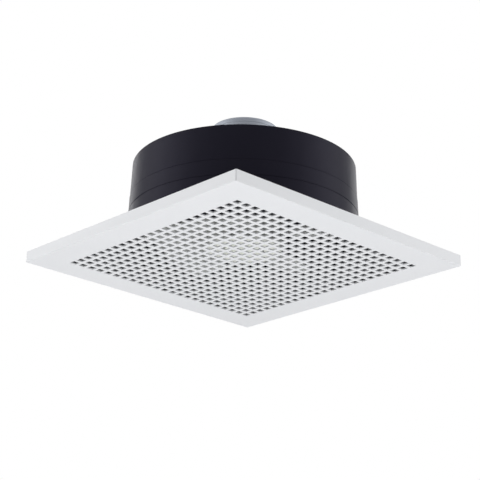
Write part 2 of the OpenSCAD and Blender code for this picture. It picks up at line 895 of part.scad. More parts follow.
module lower_bearing() {
    color("darkgoldenrod") ring(bearing_r, shaft_r + run_gap, bearing_low_z, bearing_l);
}

module upper_bearing() {
    color("darkgoldenrod") ring(bearing_r, shaft_r + run_gap, bearing_high_z, bearing_l);
}

// Rotor and fan

module shaft() {
    color("silver") difference() {
        union() {
            translate([0, 0, shaft_z])
                cylinder(r = shaft_r, h = bearing_high_z + bearing_l + shaft_end - shaft_z);
            translate([0, 0, shoulder_low_z])
                cylinder(r = rotor_bore_r, h = shoulder_high_z - shoulder_low_z);
        }
        rotate(fan_angle) translate([0, 0, pin_z]) rotate([0, 90, 0])
            cylinder(r = pin_r + run_gap, h = 4 * shaft_r, center = true);
    }
}

module rotor_core() {
    color("#7c8188") ring(rotor_r, rotor_bore_r + run_gap, core_z, core_l);
}

module rotor_end_rings() {
    color("gainsboro") {
        ring(end_ring_r, end_ring_in, core_z - end_ring_h, end_ring_h);
        ring(end_ring_r, end_ring_in, core_top_z, end_ring_h);
    }
}

module thrust_washers() {
    color("darkgoldenrod") {
        ring(washer_r, shaft_r + run_gap, shoulder_low_z - washer_t, washer_t);
        ring(washer_r, shaft_r + run_gap, shoulder_high_z, washer_t);
    }
}

// Half section of the hub: a cup with a round lower edge, a boss, and a recess for the nut.
module hub_section() {
    difference() {
        union() {
            translate([0, hub_z]) square([hub_r - hub_edge_r, hub_depth]);
            translate([0, hub_z + hub_edge_r]) square([hub_r, hub_depth - hub_edge_r]);
            translate([hub_r - hub_edge_r, hub_z + hub_edge_r]) circle(hub_edge_r);
        }
        translate([nut_recess_r + hub_wall, hub_z + hub_disc_t])
            square([hub_r - 2 * hub_wall - nut_recess_r, hub_depth]);
        translate([hub_boss_r, nut_seat_z + hub_wall]) square([hub_r - hub_wall - hub_boss_r, hub_depth]);
        translate([0, hub_boss_z]) square([hub_boss_r + overlap, hub_depth]);
        translate([0, hub_z - overlap]) square([shaft_r + run_gap, hub_depth]);
        translate([0, hub_z - overlap]) square([nut_recess_r, nut_recess_h + overlap]);
    }
}

// Outline of a blade seen along the axis: a round lobe ended by the tip circle.
module blade_outline() {
    intersection() {
        translate([lobe_centre_r, 0]) circle(lobe_r, $fn = 96);
        difference() {
            circle(tip_r, $fn = 96);
            circle(hub_r - hub_wall / 2, $fn = 96);
        }
    }
}

// A blade: part of a round sheet, pitched about the blade's own radius.
module blade() {
    intersection() {
        translate([0, 0, blade_z]) rotate([blade_pitch, 0, 0])
            translate([0, 0, blade_camber_r]) rotate([0, 90, 0]) difference() {
                cylinder(r = blade_camber_r + blade_t, h = tip_r + overlap, $fn = 192);
                translate([0, 0, -overlap])
                    cylinder(r = blade_camber_r, h = tip_r + 3 * overlap, $fn = 192);
            }
        translate([0, 0, blade_z - lobe_r]) linear_extrude(2 * lobe_r) blade_outline();
    }
}

module propeller() {
    rib_x = hub_boss_r - hub_wall / 2;
    rib_z = nut_seat_z + hub_wall / 2;
    rib_l = hub_r - hub_wall / 2 - rib_x;
    color("gainsboro") rotate(fan_angle) difference() {
        union() {
            rotate_extrude($fn = 96) hub_section();
            for (i = [0 : blade_count - 1]) rotate(i * 360 / blade_count) blade();
            for (i = [0 : hub_rib_count - 1])
                rotate((i + 0.5) * 360 / hub_rib_count) translate([rib_x, -hub_wall / 2, rib_z])
                    cube([rib_l, hub_wall, hub_depth / 2]);
        }
        translate([-hub_boss_r - overlap, -pin_r - fit_gap, pin_z - pin_r - fit_gap])
            cube([2 * (hub_boss_r + overlap), 2 * (pin_r + fit_gap), hub_depth]);
        translate([0, 0, nut_seat_z - overlap]) cylinder(r = shaft_r + run_gap, h = hub_depth);
    }
}

module drive_pin() {
    color("silver") rotate(fan_angle) translate([0, 0, pin_z]) rotate([0, 90, 0])
        cylinder(r = pin_r, h = pin_l, center = true);
}

// The round nut that holds the fan on its shaft, with flutes round its edge for a pin spanner.
module spinner_nut() {
    low_z = hub_z - nut_rise;
    color("whitesmoke") rotate(fan_angle) difference() {
        rotate_extrude() {
            translate([0, low_z]) square([nut_r - nut_round_r, nut_seat_z - low_z]);
            translate([0, low_z + nut_round_r]) square([nut_r, nut_seat_z - low_z - nut_round_r]);
            translate([nut_r - nut_round_r, low_z + nut_round_r]) circle(nut_round_r);
        }
        translate([0, 0, shaft_z - shaft_end_gap]) cylinder(r = shaft_r + run_gap, h = hub_depth);
        for (i = [0 : nut_flutes - 1])
            rotate(i * 360 / nut_flutes) translate([nut_r + flute_out, 0, low_z - overlap])
                cylinder(r = flute_r, h = nut_seat_z - low_z - overlap);
    }
}

// Wiring

module terminal_box() {
    color("#2b2b33") rotate(box_angle) difference() {
        union() {
            difference() {
                translate([box_x, -box_w / 2, box_z]) cube([box_l, box_w, box_h]);
                translate([box_x + box_wall, box_wall - box_w / 2, box_floor_z])
                    cube([box_l - 2 * box_wall, box_w - 2 * box_wall, box_h]);
            }
            for (p = cover_points)
                translate([p[0], p[1], box_z]) cylinder(r = cover_boss_r, h = box_h);
        }
        for (p = cover_points)
            translate([p[0], p[1], box_top_z - cover_screw_l])
                cylinder(r = small_shank_r + run_gap, h = cover_screw_l + overlap);
        for (y = [-1, 1])
            translate([box_screw_x, y * box_screw_y, box_z - overlap])
                cylinder(r = small_shank_r + fit_gap, h = box_wall + 2 * overlap);
        translate([box_x - overlap, 0, lead_z]) rotate([0, 90, 0])
            cylinder(r = lead_r + seat_gap, h = box_wall + 2 * overlap);
        translate([box_end_x - box_wall - overlap, 0, gland_z]) rotate([0, 90, 0])
            cylinder(r = gland_neck_r + fit_gap, h = box_wall + 2 * overlap);
    }
}

module box_screws() {
    color("silver") rotate(box_angle) for (y = [-1, 1])
        translate([box_screw_x, y * box_screw_y, 0])
            screw(box_floor_z, small_shank_r, box_screw_l);
}

module terminal_cover() {
    color("#2b2b33") rotate(box_angle) difference() {
        translate([box_x, -box_w / 2, box_top_z]) cube([box_l, box_w, cover_t]);
        for (p = cover_points)
            translate([p[0], p[1], box_top_z - overlap])
                cylinder(r = small_shank_r + fit_gap, h = cover_t + 2 * overlap);
    }
}

module cover_screws() {
    color("silver") rotate(box_angle) for (p = cover_points)
        translate([p[0], p[1], 0])
            screw(box_top_z + cover_t, small_shank_r, cover_t + cover_screw_l - seat_gap);
}

// The terminal block on the floor of the box, with a well for each terminal screw.
module terminal_block() {
    color("ivory") rotate(box_angle) difference() {
        translate([block_x, -block_side - block_w, box_floor_z]) cube([block_l, block_w, block_h]);
        for (y = terminal_ys)
            translate([block_x + block_l / 2, y, box_floor_z + block_h - well_h])
                cylinder(r = well_r, h = well_h + overlap);
    }
}

module terminal_screws() {
    color("silver") rotate(box_angle) for (y = terminal_ys)
        translate([block_x + block_l / 2, y, box_floor_z + block_h - well_h]) difference() {
            cylinder(r = well_r - fit_gap, h = well_h / 2);
            translate([0, 0, well_h / 2])
                cube([2 * well_r, well_r / 3, well_h / 2], center = true);
        }
}

// The run capacitor beside the terminal block, with its two tabs.
module capacitor() {
    color("#d8d2c0") rotate(box_angle) {
        translate([block_x, block_side, box_floor_z]) cube([block_l, block_w, capacitor_h]);
        for (y = [1, 2])
            translate([block_x + block_l / 2, block_side + y * block_w / 3, box_floor_z + capacitor_h])
                translate([-tab_t / 2, -tab_l / 2, 0]) cube([tab_t, tab_l, tab_h]);
    }
}

// The cable gland in the far wall of the box, with the bore that the supply cable passes.
module cable_gland() {
    bore_l = gland_neck_l + gland_pad_t + gland_cap_t + 2 * overlap;
    color("#3a3a42") rotate(box_angle) translate([box_end_x, 0, gland_z]) rotate([0, 90, 0])
        difference() {
            union() {
                translate([0, 0, -gland_neck_l]) cylinder(r = gland_neck_r, h = gland_neck_l);
                cylinder(r = gland_nut_r, h = gland_pad_t, $fn = 6);
                translate([0, 0, gland_pad_t]) cylinder(r = gland_cap_r, h = gland_cap_t);
            }
            translate([0, 0, -gland_neck_l - overlap]) cylinder(r = gland_r, h = bore_l);
        }
}

module gland_locknut() {
    color("#3a3a42") rotate(box_angle)
        translate([box_end_x - box_wall - locknut_t, 0, gland_z]) rotate([0, 90, 0])
            nut(0, gland_nut_r, gland_neck_r + run_gap, locknut_t);
}

// The sleeved lead from the windings to the terminal box.
module motor_lead() {
    color("#404048") rotate(box_angle) translate([lead_in_r, 0, lead_z]) rotate([0, 90, 0])
        cylinder(r = lead_r, h = box_x + box_wall + lead_end - lead_in_r);
}

// The rubber grommet where the lead leaves the motor.
module lead_grommet() {
    in_x = sqrt(motor_in_r * motor_in_r - grommet_pad_r * grommet_pad_r) - fit_gap;
    out_x = motor_r + fit_gap;
    color("#303030") rotate(box_angle) translate([0, 0, lead_z]) rotate([0, 90, 0]) difference() {
        union() {
            translate([0, 0, in_x - grommet_pad_t]) cylinder(r = grommet_pad_r, h = grommet_pad_t);
            translate([0, 0, in_x]) cylinder(r = grommet_r, h = out_x - in_x);
            translate([0, 0, out_x]) cylinder(r = grommet_pad_r, h = grommet_pad_t);
        }
        translate([0, 0, in_x - 2 * grommet_pad_t]) cylinder(r = lead_r + fit_gap, h = motor_r);
    }
}

grille_panel();
left_hanger_spring();
right_hanger_spring();
left_spring_clip();
right_spring_clip();
clip_screws();
mounting_frame();
drum_base();
drum_collar();
lap_screws();
throat_ring();
throat_screws();
motor_stay();
stay_screws();
vibration_bushes();
motor_mount_screws();
motor_mount_nuts();
motor_front_shell();
motor_rear_shell();
shell_screws();
shell_nuts();
stator_core();
lower_winding();
upper_winding();
lower_bearing();
upper_bearing();
shaft();
rotor_core();
rotor_end_rings();
thrust_washers();
propeller();
drive_pin();
spinner_nut();
terminal_box();
box_screws();
terminal_cover();
cover_screws();
terminal_block();
terminal_screws();
capacitor();
cable_gland();
gland_locknut();
motor_lead();
lead_grommet();
earth_screw();
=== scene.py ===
"""Looks of a ceiling extractor fan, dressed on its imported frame.

The frame gives every rigid piece at its place. This script paints each of them with a procedural
finish, models the pieces whose shape asks for more than a plain solid, and sets up the photograph's
camera and a plain soft studio. Lengths are in metres, in the frame's own axes.
"""

import json
import logging
import math
from dataclasses import dataclass, field
from enum import Enum
from typing import Any, Callable, Dict, Sequence, Tuple, Union

import bmesh
import bpy
from mathutils import Matrix, Vector


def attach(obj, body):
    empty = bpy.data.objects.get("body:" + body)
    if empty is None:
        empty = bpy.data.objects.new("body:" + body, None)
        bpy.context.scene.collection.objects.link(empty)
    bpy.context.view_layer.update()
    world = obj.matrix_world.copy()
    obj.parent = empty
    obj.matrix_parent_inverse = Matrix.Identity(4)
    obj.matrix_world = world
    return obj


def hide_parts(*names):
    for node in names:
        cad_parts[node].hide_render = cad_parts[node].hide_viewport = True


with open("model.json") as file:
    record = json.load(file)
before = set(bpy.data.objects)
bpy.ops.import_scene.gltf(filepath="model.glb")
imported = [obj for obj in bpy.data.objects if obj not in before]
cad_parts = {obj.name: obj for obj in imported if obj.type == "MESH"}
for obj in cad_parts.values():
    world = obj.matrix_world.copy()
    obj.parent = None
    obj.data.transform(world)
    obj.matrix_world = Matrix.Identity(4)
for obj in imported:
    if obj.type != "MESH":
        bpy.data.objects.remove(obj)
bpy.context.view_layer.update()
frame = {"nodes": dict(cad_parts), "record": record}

LOG = logging.getLogger("extractor")
BODY_OF = {node: body for body, nodes in frame["record"]["behaviour"]["bodies"].items() for node in nodes}
MOUNT_OF = {mount["name"]: mount for mount in frame["record"]["mounts"]}
# Corners of a mesh that are closer than this are one corner
WELD = 2e-6
# Faces that meet at less than this are one flat face
FLAT = math.radians(0.5)
# Edges that turn by more than this stay sharp in the shading
SHARP = math.radians(35.0)
# Edges that turn by more than this are rounded
CORNER = math.radians(50.0)
# How many strips of faces go along a rounded edge
ROUND_STEPS = 2
# A face lies along an axis when its normal's part on the axis is less than this
ALONG = 0.1
# A face lies across an axis when its normal's part on the axis is more than this
ACROSS = 0.9
# Metres in a millimetre
MM = 0.001

Colour = Tuple[float, float, float]
Stretch = Tuple[float, float, float]
Limits = Tuple[float, float]
Feed = Union["Value", float, Sequence[float]]
Key = Union[int, str]
Settings = Dict[str, Any]
Sockets = Dict[Key, Feed]


def tint(red: int, green: int, blue: int) -> Colour:
    """Turn a colour given as it looks on a screen into the linear numbers that a shader takes.

    Args:
        red: Red, from 0 to 255.
        green: Green, from 0 to 255.
        blue: Blue, from 0 to 255.

    Returns:
        The linear colour.
    """
    def linear(level: int) -> float:
        """Undo the sRGB curve for one channel."""
        share = level / 255
        return share / 12.92 if share <= 0.04045 else ((share + 0.055) / 1.055) ** 2.4

    return linear(red), linear(green), linear(blue)


class Detail(Enum):
    """How many layers a noise has, each finer than the one before."""

    ONE = 1.0
    FEW = 2.0
    SOME = 3.0
    MANY = 4.0


class Value:
    """A node's output that takes part in Python arithmetic by adding Math nodes."""

    def __init__(self, tree: "NodeTree", socket: bpy.types.NodeSocket) -> None:
        """Keep the output and the tree that it belongs to."""
        self.tree = tree
        self.socket = socket

    def math(self, operation: str, first: Feed, second: Feed = 0.0) -> "Value":
        """Add a Math node.

        Args:
            operation: The node's operation.
            first: Its first input.
            second: Its second input.

        Returns:
            The node's output.
        """
        return self.tree.add("ShaderNodeMath", {"operation": operation}, {0: first, 1: second})

    def __add__(self, other: Feed) -> "Value":
        """The sum."""
        return self.math("ADD", self, other)

    def __radd__(self, other: Feed) -> "Value":
        """The sum, with the output on the right."""
        return self.math("ADD", other, self)

    def __sub__(self, other: Feed) -> "Value":
        """The difference."""
        return self.math("SUBTRACT", self, other)

    def __rsub__(self, other: Feed) -> "Value":
        """The difference, with the output on the right."""
        return self.math("SUBTRACT", other, self)

    def __mul__(self, other: Feed) -> "Value":
        """The product."""
        return self.math("MULTIPLY", self, other)

    def __rmul__(self, other: Feed) -> "Value":
        """The product, with the output on the right."""
        return self.math("MULTIPLY", other, self)

    def sine(self) -> "Value":
        """The sine of an angle in radians."""
        return self.math("SINE", self)


class NodeTree:
    """A node tree with one method that adds nodes to it."""

    def __init__(self, owner: Union[bpy.types.Material, bpy.types.World], output: str) -> None:
        """Empty the owner's tree down to one output node.

        Args:
            owner: The material or the world.
            output: The type of its output node.
        """
        owner.use_nodes = True
        self.nodes = owner.node_tree.nodes
        self.links = owner.node_tree.links
        self.nodes.clear()
        self.out = self.nodes.new(output)

    def add(self, kind: str, settings: Settings, sockets: Sockets, output: Key = 0) -> Value:
        """Add a node.

        Args:
            kind: The node's type.
            settings: Its settings, set first; "stops" are a colour ramp's places and grey levels.
            sockets: Its inputs by name or number, each a number, a colour or another node's output.
            output: The output that is wanted.

        Returns:
            That output.
        """
        node = self.nodes.new(kind)
        for name, value in settings.items():
            if name == "stops":
                for element, (place, level) in zip(node.color_ramp.elements, value):
                    element.position = place
                    element.color = (level, level, level, 1.0)
            else:
                setattr(node, name, value)
        for key, value in sockets.items():
            self.feed(node.inputs[key], value)
        return Value(self, node.outputs[output])

    def feed(self, socket: bpy.types.NodeSocket, value: Feed) -> None:
        """Link another node's output to a socket, or set the socket's own value.

        Args:
            socket: The input.
            value: A number, a colour of three numbers, or another node's output.
        """
        if isinstance(value, Value):
            self.links.new(value.socket, socket)
        elif isinstance(value, (int, float)):
            socket.default_value = value
        else:
            filled = tuple(value)
            socket.default_value = filled + (1.0,) if socket.type == "RGBA" else filled

    def seen(self) -> Value:
        """Tell the rays that see from those that only carry light.

        Returns:
            1 for a ray from the camera, a mirror or a lens, and 0 for the others.
        """
        names = ("Is Camera Ray", "Is Glossy Ray", "Is Transmission Ray")
        camera, glossy, lens = (self.add("ShaderNodeLightPath", {}, {}, name) for name in names)
        return camera.math("MAXIMUM", camera, glossy.math("MAXIMUM", glossy, lens))

    def close(self, shader: Value) -> None:
        """Link a shader to the output node."""
        self.links.new(shader.socket, self.out.inputs["Surface"])


class FinishTree(NodeTree):
    """A material's tree, with the patterns that the finishes share."""

    noise_roughness = 0.55
    middle = 0.5

    def __init__(self, name: str) -> None:
        """Make an empty material of that name."""
        self.material = bpy.data.materials.new(name)
        super().__init__(self.material, "ShaderNodeOutputMaterial")

    def place(self) -> Value:
        """The point on the object, in metres."""
        return self.add("ShaderNodeTexCoord", {}, {}, "Object")

    def height(self) -> Value:
        """The point's height above the ceiling plane."""
        return self.add("ShaderNodeSeparateXYZ", {}, {0: self.place()}, "Z")

    def from_axis(self) -> Value:
        """The point's distance from the fan's axis."""
        flat = self.add("ShaderNodeVectorMath", {"operation": "MULTIPLY"}, {0: self.place(), 1: (1, 1, 0)})
        return self.add("ShaderNodeVectorMath", {"operation": "LENGTH"}, {0: flat}, "Value")

    def noise(self, grain: float, detail: Detail = Detail.FEW, stretch: Stretch = (1.0, 1.0, 1.0)) -> Value:
        """Cloudy noise from 0 to 1.

        Args:
            grain: Size of its patches, in metres.
            detail: How many layers it has.
            stretch: Factors on the point's three coordinates; a small one draws the noise out.

        Returns:
            The noise.
        """
        point = self.add("ShaderNodeVectorMath", {"operation": "MULTIPLY"}, {0: self.place(), 1: stretch})
        layers = {"Scale": 1 / grain, "Detail": detail.value, "Roughness": self.noise_roughness}
        sockets = {"Vector": point, **layers}
        return self.add("ShaderNodeTexNoise", {"noise_dimensions": "3D"}, sockets, "Fac")

    def cells(self, grain: float) -> Value:
        """Flat patches of random level from 0 to 1.

        Args:
            grain: Size of the patches, in metres.

        Returns:
            The level.
        """
        settings = {"voronoi_dimensions": "3D", "feature": "F1"}
        sockets = {"Vector": self.place(), "Scale": 1 / grain}
        colour = self.add("ShaderNodeTexVoronoi", settings, sockets, "Color")
        return self.add("ShaderNodeSeparateColor", {}, {0: colour})

    def ramp(self, value: Value, limits: Limits) -> Value:
        """Stretch the levels between two limits to the whole range from 0 to 1."""
        return self.add("ShaderNodeValToRGB", {"stops": zip(limits, (0.0, 1.0))}, {0: value})

    def wave(self, distance: Value, length: float) -> Value:
        """A sine wave from -1 to 1 along a distance."""
        return (distance * (2 * math.pi / length)).sine()

    def raised(self, wave: Value) -> Value:
        """A wave from -1 to 1, raised to the range from 0 to 1."""
        return wave * self.middle + self.middle

    def blend(self, *parts: Tuple[Value, float]) -> Value:
        """The sum of some patterns, each times its share."""
        first, *others = [pattern * share for pattern, share in parts]
        return sum(others, first)

    def around(self, centre: Feed, *parts: Tuple[Value, float]) -> Value:
        """A level that swings about a centre.

        Args:
            centre: The centre.
            parts: Patterns from 0 to 1, each with how far it swings the level in all.

        Returns:
            The level.
        """
        return sum([(pattern - self.middle) * swing for pattern, swing in parts], centre)

    def mix(self, share: Feed, first: Feed, second: Feed) -> Value:
        """A blend of two colours.

        Args:
            share: The second colour's share.
            first: The first colour.
            second: The second colour.

        Returns:
            The blend.
        """
        settings = {"data_type": "RGBA", "blend_type": "MIX"}
        return self.add("ShaderNodeMix", settings, {0: share, 6: first, 7: second}, 2)

    def bump(self, height: Value, depth: float) -> Value:
        """A normal that follows a height from 0 to 1, where 1 stands for a depth in metres."""
        return self.add("ShaderNodeBump", {}, {"Strength": 1.0, "Distance": depth, "Height": height})

    def surface(self, sockets: Sockets) -> bpy.types.Material:
        """Close the tree with a Principled surface.

        Args:
            sockets: The surface's inputs.

        Returns:
            The material.
        """
        self.close(self.add("ShaderNodeBsdfPrincipled", {}, sockets))
        return self.material


@dataclass(frozen=True)
class Moulding:
    """A moulded plastic: two close tints in slow clouds, and the fine grain of its mould."""

    name: str
    light: Colour
    dark: Colour
    roughness: float
    gloss: float = 0.35
    sheen: Colour = (1.0, 1.0, 1.0)
    spread: float = 0.08
    cloud: float = 0.09
    cloud_share: float = 0.7
    grain: float = 0.0009
    grain_share: float = 0.3
    contrast: Limits = (0.3, 0.7)
    wipe_scale: float = 0.25
    wipe_stretch: Stretch = (1.0, 1.0, 0.35)
    depth: float = 0.00002

    def build(self) -> bpy.types.Material:
        """Mix the finish.

        Returns:
            The material.
        """
        tree = FinishTree(self.name)
        cloud = tree.noise(self.cloud, Detail.SOME)
        grain = tree.noise(self.grain)
        wiped = tree.noise(self.cloud * self.wipe_scale, Detail.MANY, self.wipe_stretch)
        patches = tree.blend((cloud, self.cloud_share), (grain, self.grain_share))
        return tree.surface({
            "Base Color": tree.mix(tree.ramp(patches, self.contrast), self.light, self.dark),
            "Roughness": tree.around(self.roughness, (wiped, self.spread), (grain, self.spread)),
            "Specular IOR Level": self.gloss,
            "Specular Tint": self.sheen,
            "Normal": tree.bump(grain, self.depth),
        })


@dataclass(frozen=True)
class FanMoulding:
    """A fan's moulding: pale on the hub's face, with painted shade, a greyer tone in streaks, on the hub's
    side and on the blades that the air sweeps.
    """

    name: str
    own_colour: Colour
    shade_colour: Colour
    face_r: float
    swept_r: float
    streak: float = 0.004
    streak_stretch: Stretch = (0.35, 0.35, 1.0)
    shade_low: float = 0.8
    shade_rise: float = 0.4
    grain: float = 0.0009
    grain_swing: float = 0.06
    roughness: float = 0.45
    shade_roughness: float = 0.1
    spread: float = 0.08
    gloss: float = 0.35
    depth: float = 0.000015

    def build(self) -> bpy.types.Material:
        """Mix the finish.

        Returns:
            The material.
        """
        tree = FinishTree(self.name)
        # Painted shade: greyer from the edge of the hub's face outward, in streaks, standing in for the
        # shade on the hub's side and the blades
        shade_mask = tree.ramp(tree.from_axis(), (self.face_r, self.swept_r))
        streak = tree.noise(self.streak, Detail.SOME, self.streak_stretch)
        grain = tree.noise(self.grain)
        streaky = self.shade_low + streak * self.shade_rise
        painted_shade = tree.around(shade_mask * streaky, (grain, self.grain_swing))
        return tree.surface({
            "Base Color": tree.mix(painted_shade, self.own_colour, self.shade_colour),
            "Roughness": tree.around(self.roughness + painted_shade * self.shade_roughness, (grain, self.spread)),
            "Specular IOR Level": self.gloss,
            "Normal": tree.bump(grain, self.depth),
        })


@dataclass(frozen=True)
class SheetMetal:
    """Galvanised sheet: pale and dark zinc crystals under a drawn grain."""

    name: str
    light: Colour
    dark: Colour
    roughness: float = 0.42
    metallic: float = 0.85
    crystal: float = 0.006
    crystal_share: float = 0.45
    crystal_spread: float = 0.16
    grain: float = 0.0012
    grain_stretch: Stretch = (0.2, 1.0, 1.0)
    grain_share: float = 0.25
    soot: float = 0.05
    soot_share: float = 0.3
    soot_spread: float = 0.12
    contrast: Limits = (0.25, 0.75)
    depth: float = 0.00001

    def build(self) -> bpy.types.Material:
        """Mix the finish.

        Returns:
            The material.
        """
        tree = FinishTree(self.name)
        crystal = tree.cells(self.crystal)
        grain = tree.noise(self.grain, Detail.SOME, self.grain_stretch)
        soot = tree.noise(self.soot, Detail.SOME)
        shares = (crystal, self.crystal_share), (grain, self.grain_share), (soot, self.soot_share)
        spreads = (crystal, self.crystal_spread), (soot, self.soot_spread)
        return tree.surface({
            "Base Color": tree.mix(tree.ramp(tree.blend(*shares), self.contrast), self.dark, self.light),
            "Metallic": self.metallic,
            "Roughness": tree.around(self.roughness, *spreads),
            "Normal": tree.bump(grain, self.depth),
        })


@dataclass(frozen=True)
class SpunMetal:
    """A can pressed and turned on its axis: fine and broad rings along it, and a dull zinc coat."""

    name: str
    light: Colour
    dark: Colour
    roughness: float = 0.62
    metallic: float = 0.35
    ring: float = 0.0011
    ring_share: float = 0.4
    ring_spread: float = 0.14
    broad: float = 0.0055
    broad_share: float = 0.35
    ring_stretch: Stretch = (0.01, 0.01, 1.0)
    cloud: float = 0.03
    cloud_share: float = 0.25
    cloud_spread: float = 0.1
    contrast: Limits = (0.3, 0.7)
    depth: float = 0.000015

    def build(self) -> bpy.types.Material:
        """Mix the finish.

        Returns:
            The material.
        """
        tree = FinishTree(self.name)
        rings = tree.noise(self.ring, Detail.FEW, self.ring_stretch)
        broad = tree.noise(self.broad, Detail.FEW, self.ring_stretch)
        cloud = tree.noise(self.cloud, Detail.SOME)
        shares = (rings, self.ring_share), (broad, self.broad_share), (cloud, self.cloud_share)
        spreads = (rings, self.ring_spread), (cloud, self.cloud_spread)
        return tree.surface({
            "Base Color": tree.mix(tree.ramp(tree.blend(*shares), self.contrast), self.dark, self.light),
            "Metallic": self.metallic,
            "Roughness": tree.around(self.roughness, *spreads),
            "Normal": tree.bump(rings, self.depth),
        })


@dataclass(frozen=True)
class PowderCoat:
    """A stoved powder paint with its orange peel."""

    name: str
    light: Colour
    dark: Colour
    roughness: float = 0.48
    peel: float = 0.0022
    peel_spread: float = 0.12
    cloud: float = 0.06
    contrast: Limits = (0.3, 0.7)
    depth: float = 0.00004

    def build(self) -> bpy.types.Material:
        """Mix the finish.

        Returns:
            The material.
        """
        tree = FinishTree(self.name)
        peel = tree.noise(self.peel, Detail.ONE)
        cloud = tree.noise(self.cloud, Detail.SOME)
        return tree.surface({
            "Base Color": tree.mix(tree.ramp(cloud, self.contrast), self.light, self.dark),
            "Roughness": tree.around(self.roughness, (peel, self.peel_spread)),
            "Normal": tree.bump(peel, self.depth),
        })


@dataclass(frozen=True)
class BrightMetal:
    """Plated or ground metal with fine scratches and a little tarnish."""

    name: str
    light: Colour
    dark: Colour
    roughness: float
    metallic: float = 1.0
    scratch: float = 0.0006
    scratch_stretch: Stretch = (1.0, 0.15, 1.0)
    scratch_spread: float = 0.2
    tarnish: float = 0.007
    tarnish_spread: float = 0.15
    contrast: Limits = (0.35, 0.7)
    depth: float = 0.000006

    def build(self) -> bpy.types.Material:
        """Mix the finish.

        Returns:
            The material.
        """
        tree = FinishTree(self.name)
        scratch = tree.noise(self.scratch, Detail.SOME, self.scratch_stretch)
        tarnish = tree.noise(self.tarnish, Detail.SOME)
        spreads = (scratch, self.scratch_spread), (tarnish, self.tarnish_spread)
        return tree.surface({
            "Base Color": tree.mix(tree.ramp(tarnish, self.contrast), self.light, self.dark),
            "Metallic": self.metallic,
            "Roughness": tree.around(self.roughness, *spreads),
            "Normal": tree.bump(scratch, self.depth),
        })


@dataclass(frozen=True)
class Stack:
    """Pressed sheets stacked along the axis, seen as fine lines."""

    name: str
    light: Colour
    dark: Colour
    roughness: float = 0.5
    metallic: float = 0.7
    pitch: float = 0.0007
    line_share: float = 0.6
    rust: float = 0.006
    rust_share: float = 0.4
    rust_spread: float = 0.2
    contrast: Limits = (0.25, 0.75)
    depth: float = 0.00008

    def build(self) -> bpy.types.Material:
        """Mix the finish.

        Returns:
            The material.
        """
        tree = FinishTree(self.name)
        line = tree.raised(tree.wave(tree.height(), self.pitch))
        rust = tree.noise(self.rust, Detail.MANY)
        level = tree.blend((line, self.line_share), (rust, self.rust_share))
        return tree.surface({
            "Base Color": tree.mix(tree.ramp(level, self.contrast), self.dark, self.light),
            "Metallic": self.metallic,
            "Roughness": tree.around(self.roughness, (rust, self.rust_spread)),
            "Normal": tree.bump(line, self.depth),
        })


@dataclass(frozen=True)
class Winding:
    """Varnished wire laid in rings about the axis."""

    name: str
    light: Colour
    dark: Colour
    roughness: float = 0.3
    metallic: float = 0.6
    coat: float = 0.4
    wire: float = 0.0007
    turn_share: float = 0.6
    wander: float = 0.012
    wander_reach: float = 0.0016
    varnish: float = 0.009
    varnish_share: float = 0.4
    varnish_spread: float = 0.2
    contrast: Limits = (0.2, 0.8)
    depth: float = 0.00018

    def build(self) -> bpy.types.Material:
        """Mix the finish.

        Returns:
            The material.
        """
        tree = FinishTree(self.name)
        wander = tree.noise(self.wander) * self.wander_reach
        turn = tree.raised(tree.wave(tree.from_axis() + tree.height() + wander, self.wire))
        varnish = tree.noise(self.varnish, Detail.SOME)
        level = tree.blend((turn, self.turn_share), (varnish, self.varnish_share))
        return tree.surface({
            "Base Color": tree.mix(tree.ramp(level, self.contrast), self.dark, self.light),
            "Metallic": self.metallic,
            "Roughness": tree.around(self.roughness, (varnish, self.varnish_spread)),
            "Coat Weight": self.coat,
            "Normal": tree.bump(turn, self.depth),
        })


@dataclass(frozen=True)
class Braid:
    """A woven sleeve of two crossing sets of yarn."""

    name: str
    light: Colour
    dark: Colour
    roughness: float = 0.75
    yarn: float = 0.0011
    weave_share: float = 0.7
    fuzz: float = 0.0008
    fuzz_share: float = 0.3
    fuzz_spread: float = 0.2
    depth: float = 0.0002

    def build(self) -> bpy.types.Material:
        """Mix the finish.

        Returns:
            The material.
        """
        tree = FinishTree(self.name)
        height, reach = tree.height(), tree.from_axis()
        weave = tree.raised(tree.wave(reach + height, self.yarn) * tree.wave(reach - height, self.yarn))
        fuzz = tree.noise(self.fuzz, Detail.SOME)
        level = tree.blend((weave, self.weave_share), (fuzz, self.fuzz_share))
        return tree.surface({
            "Base Color": tree.mix(level, self.dark, self.light),
            "Roughness": tree.around(self.roughness, (fuzz, self.fuzz_spread)),
            "Normal": tree.bump(weave, self.depth),
        })


